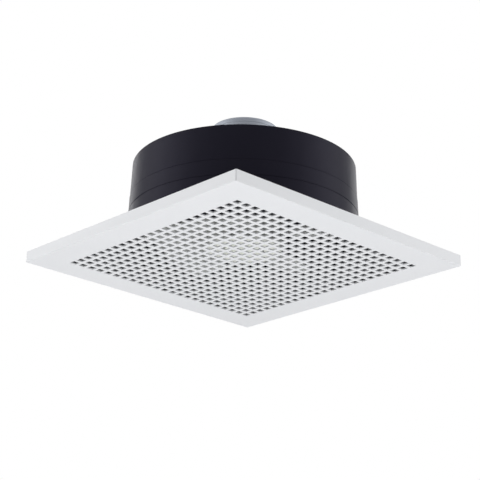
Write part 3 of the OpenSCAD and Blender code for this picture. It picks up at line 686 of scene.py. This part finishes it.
class Finishes(Enum):
    """Every finish on the fan."""

    GRILLE = Moulding("grille_white", tint(232, 233, 236), tint(229, 231, 234), 0.42,
                      spread=0.05, cloud=0.12, grain=0.0008, depth=0.00001)
    DRUM = Moulding("drum_black", tint(38, 37, 46), tint(33, 32, 41), 0.48, gloss=0.065,
                    sheen=(0.62, 0.59, 1.0), spread=0.07, cloud=0.14, grain=0.0007, depth=0.000008)
    THROAT = Moulding("throat_black", tint(24, 24, 28), tint(19, 19, 23), 0.5, gloss=0.15)
    # The fan's second tint is painted shade on the hub's side and blades
    FAN = FanMoulding("fan_grey", tint(238, 239, 233), tint(190, 192, 189), face_r=0.0445, swept_r=0.0475)
    SPINNER = Moulding("spinner_grey", tint(246, 248, 240), tint(240, 243, 233), 0.4, cloud=0.02)
    BOX = Moulding("box_black", tint(46, 46, 51), tint(38, 38, 43), 0.55,
                   cloud=0.03, grain=0.0007, depth=0.00006)
    GLAND = Moulding("gland_black", tint(52, 52, 56), tint(44, 44, 48), 0.5, cloud=0.01)
    BLOCK = Moulding("block_ivory", tint(226, 220, 200), tint(214, 206, 184), 0.5, cloud=0.012)
    CAPACITOR = Moulding("capacitor_buff", tint(214, 206, 186), tint(200, 191, 168), 0.5, cloud=0.015)
    RUBBER = Moulding("bush_rubber", tint(38, 38, 38), tint(28, 28, 28), 0.75, gloss=0.25,
                      cloud=0.006, grain=0.0005, depth=0.00005)
    FRAME = PowderCoat("frame_grey", tint(70, 71, 75), tint(60, 61, 65))
    STAY = SheetMetal("stay_zinc", tint(205, 209, 214), tint(158, 164, 172))
    CAN = SpunMetal("motor_zinc", tint(181, 186, 196), tint(144, 150, 161))
    SCREW = BrightMetal("screw_zinc", tint(214, 216, 220), tint(170, 173, 180), 0.3)
    WIRE = BrightMetal("spring_wire", tint(204, 206, 210), tint(150, 154, 160), 0.26)
    SHAFT = BrightMetal("shaft_steel", tint(212, 214, 217), tint(176, 179, 184), 0.22)
    ENDRING = BrightMetal("end_ring_aluminium", tint(218, 220, 222), tint(188, 191, 196), 0.45)
    BRASS = BrightMetal("earth_brass", tint(226, 190, 112), tint(176, 138, 70), 0.3)
    BRONZE = BrightMetal("bearing_bronze", tint(178, 140, 86), tint(128, 94, 52), 0.5)
    CORE = Stack("core_steel", tint(150, 153, 158), tint(92, 95, 100))
    COPPER = Winding("winding_copper", tint(206, 122, 66), tint(122, 58, 26))
    SLEEVE = Braid("lead_sleeve", tint(84, 84, 88), tint(34, 34, 38))


class Paint:
    """The finishes that have been mixed, so that each one is made once."""

    mixed: Dict[Finishes, bpy.types.Material] = {}

    @classmethod
    def of(cls, finish: Finishes) -> bpy.types.Material:
        """The material of a finish, made at its first use.

        Args:
            finish: The finish.

        Returns:
            Its material.
        """
        if finish not in cls.mixed:
            cls.mixed[finish] = finish.value.build()
        return cls.mixed[finish]


def dress(finish: Finishes, *nodes: str) -> None:
    """Give CAD nodes a finish.

    Args:
        finish: The finish.
        nodes: The nodes' names.
    """
    for name in nodes:
        mesh = frame["nodes"][name].data
        mesh.materials.clear()
        mesh.materials.append(Paint.of(finish))
        LOG.info("%s has the finish %s", name, finish.value.name)


class Element(Enum):
    """What edit mode selects."""

    EDGE = "EDGE"
    FACE = "FACE"


class Bench:
    """Edit-mode work on one mesh at a time, on faces and edges chosen by their place or normal."""

    @staticmethod
    def take(piece: bpy.types.Object) -> None:
        """Select one object alone and make it the active one.

        Args:
            piece: The object.
        """
        bpy.ops.object.select_all(action="DESELECT")
        piece.select_set(True)
        bpy.context.view_layer.objects.active = piece

    @classmethod
    def open(cls, piece: bpy.types.Object, element: Element) -> None:
        """Take an object into edit mode with nothing selected.

        Args:
            piece: The object.
            element: What edit mode is to select.
        """
        cls.take(piece)
        bpy.ops.object.mode_set(mode="EDIT")
        bpy.ops.mesh.select_mode(type=element.value)
        bpy.ops.mesh.select_all(action="DESELECT")

    @staticmethod
    def weld() -> None:
        """Merge the corners of the mesh in hand that lie on each other, and leave it selected."""
        bpy.ops.mesh.select_all(action="SELECT")
        bpy.ops.mesh.remove_doubles(threshold=WELD)

    @staticmethod
    def shut() -> None:
        """Go back to object mode."""
        bpy.ops.object.mode_set(mode="OBJECT")

    @classmethod
    def settle(cls, piece: bpy.types.Object, place: Matrix) -> None:
        """Move an object and put its place into its mesh.

        Args:
            piece: The object.
            place: Where it goes.
        """
        cls.take(piece)
        piece.matrix_world = place
        bpy.ops.object.transform_apply(location=True, rotation=True, scale=True)

    @staticmethod
    def pick_faces(wanted: Callable[[Vector, Vector], bool]) -> None:
        """Select faces of the mesh in hand.

        Args:
            wanted: Says of a face, from its centre and normal, whether it is wanted.
        """
        mesh = bmesh.from_edit_mesh(bpy.context.object.data)
        for face in mesh.faces:
            face.select_set(wanted(face.calc_center_median(), face.normal))
        bmesh.update_edit_mesh(bpy.context.object.data)

    @staticmethod
    def pick_edges(wanted: Callable[[Vector, Vector], bool]) -> None:
        """Select edges of the mesh in hand.

        Args:
            wanted: Says of an edge, from its two ends, whether it is wanted.
        """
        mesh = bmesh.from_edit_mesh(bpy.context.object.data)
        for edge in mesh.edges:
            edge.select_set(wanted(edge.verts[0].co, edge.verts[1].co))
        bmesh.update_edit_mesh(bpy.context.object.data)

    @classmethod
    def shade(cls, piece: bpy.types.Object) -> None:
        """Shade a piece smooth up to its sharp edges, with its flats kept flat.

        Args:
            piece: The piece.
        """
        cls.take(piece)
        bpy.ops.object.shade_smooth_by_angle(angle=SHARP)
        even = piece.modifiers.new("even_normals", "WEIGHTED_NORMAL")
        even.keep_sharp = True
        bpy.ops.object.modifier_apply(modifier=even.name)

    @classmethod
    def turned(cls, name: str, outline: Sequence[Tuple[float, float]], sides: int) -> bpy.types.Object:
        """A closed ring about +Z, drawn out of a circle step by step.

        Args:
            name: The object's name.
            outline: Radius and height of each step round the ring's section.
            sides: How many faces go round it.

        Returns:
            The ring, in edit mode with nothing selected.
        """
        radius, level = outline[0]
        bpy.ops.object.select_all(action="DESELECT")
        bpy.ops.mesh.primitive_circle_add(vertices=sides, radius=radius)
        piece = bpy.context.object
        piece.name = name
        cls.settle(piece, Matrix.Translation((0.0, 0.0, level)))
        cls.open(piece, Element.EDGE)
        bpy.ops.mesh.select_all(action="SELECT")
        for next_radius, next_level in [*outline[1:], outline[0]]:
            move = {"value": (0.0, 0.0, next_level - level)}
            bpy.ops.mesh.extrude_edges_move(TRANSFORM_OT_translate=move)
            growth = next_radius / radius
            bpy.ops.transform.resize(value=(growth, growth, 1.0), center_override=(0.0, 0.0, next_level))
            radius, level = next_radius, next_level
        cls.weld()
        bpy.ops.mesh.normals_make_consistent(inside=False)
        bpy.ops.mesh.select_all(action="DESELECT")
        return piece

    @classmethod
    def rounded(cls, node: str, radius: float) -> bpy.types.Object:
        """A copy of a CAD node's mesh with its sharp edges rounded.

        Args:
            node: The node's name.
            radius: How far the rounding reaches from an edge.

        Returns:
            The copy.
        """
        piece = bpy.data.objects.new(f"{node}_rounded", frame["nodes"][node].data.copy())
        bpy.context.scene.collection.objects.link(piece)
        cls.open(piece, Element.EDGE)
        cls.weld()
        bpy.ops.mesh.dissolve_limited(angle_limit=FLAT, delimit=set())
        bpy.ops.mesh.select_all(action="DESELECT")
        bpy.ops.mesh.edges_select_sharp(sharpness=CORNER)
        bpy.ops.mesh.bevel(
            offset=radius, segments=ROUND_STEPS, affect="EDGES", clamp_overlap=False, miter_outer="SHARP")
        cls.weld()
        cls.shut()
        cls.shade(piece)
        return piece


def hand_over(piece: bpy.types.Object, finish: Finishes, body: str) -> None:
    """Dress a finished piece and let it ride on its body.

    Args:
        piece: The piece.
        finish: Its finish.
        body: The body that it moves with.
    """
    piece.data.materials.clear()
    piece.data.materials.append(Paint.of(finish))
    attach(piece, body)
    LOG.info("%s rides on %s with the finish %s", piece.name, body, finish.value.name)


def soften(finish: Finishes, radius: float, *nodes: str) -> None:
    """Stand a copy with rounded edges in for each of some CAD nodes.

    Args:
        finish: Their finish.
        radius: How far the rounding reaches from an edge.
        nodes: The nodes' names.
    """
    for node in nodes:
        piece = Bench.rounded(node, radius)
        hand_over(piece, finish, BODY_OF[node])
        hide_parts(node)


@dataclass
class Grille:
    """The perforated panel with its hanger springs and their clips."""

    clip_round: float = 0.0002

    def build(self) -> None:
        """Dress the panel and its springs, and round and dress the clips."""
        dress(Finishes.GRILLE, "grille_panel")
        soften(Finishes.STAY, self.clip_round, "left_spring_clip", "right_spring_clip")
        soften(Finishes.SCREW, self.clip_round, "clip_screws")
        dress(Finishes.WIRE, "left_hanger_spring", "right_hanger_spring")


@dataclass
class Drum:
    """The black drum, its mounting frame and the throat inside it."""

    shell_round: float = 0.0003
    screw_round: float = 0.0002

    def build(self) -> None:
        """Round and dress the drum's shells, the frame, the throat and their screws."""
        soften(Finishes.DRUM, self.shell_round, "drum_base", "drum_collar")
        soften(Finishes.THROAT, self.shell_round, "throat_ring")
        soften(Finishes.FRAME, self.shell_round, "mounting_frame")
        soften(Finishes.SCREW, self.screw_round, "lap_screws", "throat_screws")


@dataclass
class Motor:
    """The motor can on its stay."""

    can_round: float = 0.0002
    stay_round: float = 0.0003
    bush_round: float = 0.0004
    screw_round: float = 0.0002

    def build(self) -> None:
        """Round and dress the can and the stay, and dress what is inside the can."""
        soften(Finishes.CAN, self.can_round, "motor_front_shell", "motor_rear_shell")
        soften(Finishes.STAY, self.stay_round, "motor_stay")
        soften(Finishes.RUBBER, self.bush_round, "vibration_bushes")
        soften(Finishes.SCREW, self.screw_round, "stay_screws", "motor_mount_screws", "motor_mount_nuts")
        soften(Finishes.SCREW, self.screw_round, "shell_screws", "shell_nuts")
        dress(Finishes.CORE, "stator_core")
        dress(Finishes.COPPER, "lower_winding", "upper_winding")
        dress(Finishes.BRONZE, "lower_bearing", "upper_bearing")


@dataclass
class Rotor:
    """The fan on its shaft."""

    blade_round: float = 0.0004
    nut_round: float = 0.00015

    def build(self) -> None:
        """Round and dress the fan and its nut, and dress the shaft with the rotor on it."""
        soften(Finishes.FAN, self.blade_round, "propeller")
        soften(Finishes.SPINNER, self.nut_round, "spinner_nut")
        dress(Finishes.SHAFT, "shaft", "drive_pin")
        dress(Finishes.CORE, "rotor_core")
        dress(Finishes.ENDRING, "rotor_end_rings")
        dress(Finishes.BRONZE, "thrust_washers")


@dataclass
class CableGland:
    """The gland at the terminal box's end: a neck, a hexagon, a fluted cap and a rubber seal."""

    bore_r: float = MOUNT_OF["cable_entry"]["dims"]["r_mm"] * MM
    neck_r: float = 0.0071
    neck_l: float = 0.006
    hex_r: float = 0.0097
    hex_h: float = 0.005
    hex_wall: float = 0.0024
    hex_round: float = 0.0005
    cap_r: float = 0.0084
    cap_end: float = 0.014
    mouth_r: float = 0.0062
    mouth_depth: float = 0.0016
    chamfer: float = 0.0008
    flutes: int = 16
    flute_edge: float = 0.00025
    flute_depth: float = 0.0005
    seal_sides: int = 48
    seal_gap: float = 0.0001
    seal_round: float = 0.0003
    outstand: float = 0.004

    def place(self) -> Matrix:
        """Work out where the gland sits from the record's cable entry.

        Returns:
            The move from the gland's own axes, with +Z out of the box's wall, to the row's.
        """
        mount = MOUNT_OF["cable_entry"]
        axis = Vector(mount["axis"]).normalized()
        foot = Vector(mount["pos_m"]) - axis * self.outstand
        return Matrix.Translation(foot) @ axis.to_track_quat("Z", "Y").to_matrix().to_4x4()

    def in_flute(self, centre: Vector, normal: Vector) -> bool:
        """Tell the faces that the flutes are sunk into.

        Args:
            centre: The face's centre.
            normal: Its normal.

        Returns:
            Whether the face is on the cap's side and is every second one round it.
        """
        side = centre.z > self.hex_h and centre.xy.length > self.mouth_r and abs(normal.z) < ALONG
        step = math.floor(math.atan2(centre.y, centre.x) / math.pi * self.flutes)
        return side and step % 2 == 0

    def turn_body(self) -> bpy.types.Object:
        """Turn the neck and the cap in one, and sink the flutes into the cap.

        Returns:
            The body.
        """
        floor = self.cap_end - self.mouth_depth
        piece = Bench.turned("cable_gland_fluted", [
            (self.bore_r, -self.neck_l),
            (self.neck_r - self.chamfer, -self.neck_l),
            (self.neck_r, self.chamfer - self.neck_l),
            (self.neck_r, self.hex_h),
            (self.cap_r - self.chamfer, self.hex_h),
            (self.cap_r, self.hex_h + self.chamfer),
            (self.cap_r, self.cap_end - 2 * self.chamfer),
            (self.cap_r - self.chamfer / 2, self.cap_end - self.chamfer / 2),
            (self.cap_r - 1.5 * self.chamfer, self.cap_end),
            (self.mouth_r, self.cap_end),
            (self.mouth_r, floor),
            (self.bore_r, floor),
        ], 2 * self.flutes)
        bpy.ops.mesh.select_mode(type=Element.FACE.value)
        Bench.pick_faces(self.in_flute)
        bpy.ops.mesh.inset(thickness=self.flute_edge, depth=-self.flute_depth, use_individual=True)
        Bench.shut()
        return piece

    def make_hexagon(self) -> bpy.types.Object:
        """Make the spanner hexagon as a ring with rounded edges.

        Returns:
            The ring.
        """
        bpy.ops.object.select_all(action="DESELECT")
        bpy.ops.mesh.primitive_cylinder_add(vertices=6, radius=self.hex_r, depth=self.hex_h)
        piece = bpy.context.object
        Bench.settle(piece, Matrix.Translation((0.0, 0.0, self.hex_h / 2)))
        Bench.open(piece, Element.FACE)
        Bench.pick_faces(lambda centre, normal: abs(normal.z) > ACROSS)
        bpy.ops.mesh.inset(thickness=self.hex_wall)
        bpy.ops.mesh.bridge_edge_loops()
        bpy.ops.mesh.select_mode(type=Element.EDGE.value)
        bpy.ops.mesh.select_all(action="DESELECT")
        rim = self.hex_r - self.hex_wall / 2
        Bench.pick_edges(lambda one, other: min(one.xy.length, other.xy.length) > rim)
        bpy.ops.mesh.bevel(offset=self.hex_round, segments=ROUND_STEPS, affect="EDGES")
        bpy.ops.mesh.select_all(action="SELECT")
        bpy.ops.mesh.normals_make_consistent(inside=False)
        Bench.shut()
        return piece

    def make_seal(self) -> None:
        """Make the rubber ring in the cap's mouth."""
        inner, outer = self.bore_r + self.seal_gap, self.mouth_r - self.seal_gap
        low, high = self.cap_end - self.mouth_depth + self.seal_gap, self.cap_end
        crown = (inner + outer) / 2
        piece = Bench.turned("gland_seal", [
            (inner, low),
            (outer, low),
            (outer, high - self.seal_round),
            (outer - self.seal_round, high),
            (crown + self.seal_round, high),
            (crown, high - self.seal_round),
            (crown - self.seal_round, high),
            (inner + self.seal_round, high),
            (inner, high - self.seal_round),
        ], self.seal_sides)
        Bench.shut()
        Bench.settle(piece, self.place())
        Bench.shade(piece)
        hand_over(piece, Finishes.RUBBER, BODY_OF["cable_gland"])

    def build(self) -> None:
        """Join the turned body and the hexagon, and add the seal."""
        piece = self.turn_body()
        hexagon = self.make_hexagon()
        Bench.take(piece)
        union = piece.modifiers.new("hexagon", "BOOLEAN")
        union.operation = "UNION"
        union.object = hexagon
        bpy.ops.object.modifier_apply(modifier=union.name)
        bpy.data.objects.remove(hexagon)
        Bench.open(piece, Element.EDGE)
        Bench.weld()
        Bench.shut()
        Bench.settle(piece, self.place())
        Bench.shade(piece)
        hand_over(piece, Finishes.GLAND, BODY_OF["cable_gland"])
        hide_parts("cable_gland")
        self.make_seal()


@dataclass
class Wiring:
    """The terminal box with its gland, and the lead from the motor."""

    gland: CableGland = field(default_factory=CableGland)
    box_round: float = 0.0004
    screw_round: float = 0.0002
    grommet_round: float = 0.0004

    def build(self) -> None:
        """Round and dress the box, build its gland, and dress what is in the box and the lead."""
        soften(Finishes.BOX, self.box_round, "terminal_box", "terminal_cover")
        soften(Finishes.SCREW, self.screw_round, "cover_screws")
        soften(Finishes.BRASS, self.screw_round, "earth_screw")
        soften(Finishes.RUBBER, self.grommet_round, "lead_grommet")
        self.gland.build()
        dress(Finishes.GLAND, "gland_locknut")
        dress(Finishes.SCREW, "box_screws")
        dress(Finishes.BLOCK, "terminal_block")
        dress(Finishes.CAPACITOR, "capacitor")
        dress(Finishes.BRASS, "terminal_screws")
        dress(Finishes.SLEEVE, "motor_lead")


def outward(azimuth: float, elevation: float) -> Vector:
    """The direction from the object to a point seen at an azimuth and an elevation.

    Args:
        azimuth: Degrees round +Z, where 0 is on the -Y side and 90 on the +X side.
        elevation: Degrees above the ceiling plane.

    Returns:
        The direction, of length 1.
    """
    turn, rise = math.radians(azimuth), math.radians(elevation)
    return Vector((math.sin(turn) * math.cos(rise), -math.cos(turn) * math.cos(rise), math.sin(rise)))


@dataclass(frozen=True)
class PhotoCamera:
    """The photograph's camera, worked out from the corners of the panel and the edges of the drum."""

    place: Tuple[float, float, float] = (1.1885, -1.1141, -0.5837)
    azimuth: float = 46.97
    elevation: float = -20.23
    roll: float = 1.151
    focal_px: float = 1477.0
    frame_px: float = 480.0
    sensor_mm: float = 36.0

    def build(self) -> None:
        """Make the camera and set it as the scene's own."""
        back = outward(self.azimuth, self.elevation)
        turn = math.radians(self.azimuth)
        level = Vector((math.cos(turn), math.sin(turn), 0.0))
        upright = back.cross(level)
        roll = math.radians(self.roll)
        right = level * math.cos(roll) + upright * math.sin(roll)
        up = upright * math.cos(roll) - level * math.sin(roll)
        data = bpy.data.cameras.new("photo_camera")
        data.sensor_width = self.sensor_mm
        data.lens = self.focal_px / self.frame_px * self.sensor_mm
        camera = bpy.data.objects.new("photo_camera", data)
        bpy.context.scene.collection.objects.link(camera)
        turned = Matrix((right, up, back)).transposed().to_4x4()
        camera.matrix_world = Matrix.Translation(self.place) @ turned
        bpy.context.scene.camera = camera


@dataclass(frozen=True)
class SoftLamp:
    """A square or upright soft box that faces the object.

    Its share is how bright it makes a white face that is turned to it, where 1 is full white.
    """

    name: str
    azimuth: float
    elevation: float
    distance: float
    width: float
    height: float
    share: float

    def build(self, target: Vector) -> None:
        """Make the lamp.

        Args:
            target: The point that it faces.
        """
        data = bpy.data.lights.new(self.name, "AREA")
        data.shape = "RECTANGLE"
        data.size, data.size_y = self.width, self.height
        data.energy = self.share * (math.pi * self.distance) ** 2
        lamp = bpy.data.objects.new(self.name, data)
        bpy.context.scene.collection.objects.link(lamp)
        back = outward(self.azimuth, self.elevation)
        lamp.location = target + back * self.distance
        lamp.rotation_euler = (-back).to_track_quat("-Z", "Y").to_euler()
        lamp.visible_camera = False


@dataclass(frozen=True)
class Studio:
    """A white room: soft lamps, even light from all round, and a pale floor far below the ceiling."""

    lamps: Tuple[SoftLamp, ...] = (
        SoftLamp("front_box", azimuth=43, elevation=-22, distance=1.9, width=0.5, height=0.5, share=0.07),
        SoftLamp("low_box", azimuth=47, elevation=-84, distance=1.6, width=1.2, height=1.2, share=0.11),
        SoftLamp("key_box", azimuth=47, elevation=-65.7, distance=2.1, width=0.36, height=0.36, share=0.45),
        SoftLamp("left_box", azimuth=-38, elevation=18, distance=1.8, width=1.3, height=1.5, share=0.56),
        SoftLamp("right_box", azimuth=132, elevation=18, distance=1.8, width=1.3, height=1.5, share=0.51),
        SoftLamp("left_edge", azimuth=-100, elevation=8, distance=2.0, width=0.5, height=1.5, share=0.24),
        SoftLamp("right_edge", azimuth=194, elevation=8, distance=2.0, width=0.5, height=1.5, share=0.2),
    )
    target: Tuple[float, float, float] = (0.0, 0.0, 0.03)
    even_light: float = 0.29
    floor_z: float = -2.1
    floor_side: float = 16.0
    floor_white: float = 0.97
    floor_grey: Colour = (0.8, 0.8, 0.8)
    white: Colour = (1.0, 1.0, 1.0)

    def build(self) -> None:
        """Make the lamps, the world and the floor."""
        for lamp in self.lamps:
            lamp.build(Vector(self.target))
        self.build_world()
        self.build_floor()
        bpy.context.scene.view_settings.view_transform = "Standard"

    def build_world(self) -> None:
        """A world that lights evenly and looks white."""
        world = bpy.data.worlds.new("white_room")
        bpy.context.scene.world = world
        tree = NodeTree(world, "ShaderNodeOutputWorld")
        level = tree.seen() * (1.0 - self.even_light) + self.even_light
        tree.close(tree.add("ShaderNodeBackground", {}, {"Color": self.white, "Strength": level}))

    def build_floor(self) -> None:
        """A pale floor that the camera sees as white."""
        bpy.ops.object.select_all(action="DESELECT")
        bpy.ops.mesh.primitive_plane_add(size=self.floor_side, location=(0, 0, self.floor_z))
        floor = bpy.context.object
        floor.name = "floor"
        tree = FinishTree("floor_white")
        share = tree.seen() * self.floor_white
        matt = tree.add("ShaderNodeBsdfDiffuse", {}, {"Color": self.floor_grey})
        white = tree.add("ShaderNodeEmission", {}, {"Color": self.white})
        tree.close(tree.add("ShaderNodeMixShader", {}, {0: share, 1: matt, 2: white}))
        floor.data.materials.append(tree.material)


def main() -> None:
    """Build the studio and every sub-assembly."""
    logging.basicConfig(level=logging.INFO, format="%(message)s")
    PhotoCamera().build()
    Studio().build()
    for part in (Grille(), Drum(), Motor(), Rotor(), Wiring()):
        part.build()
        LOG.info("%s is done", type(part).__name__)


if __name__ == "__main__":
    main()
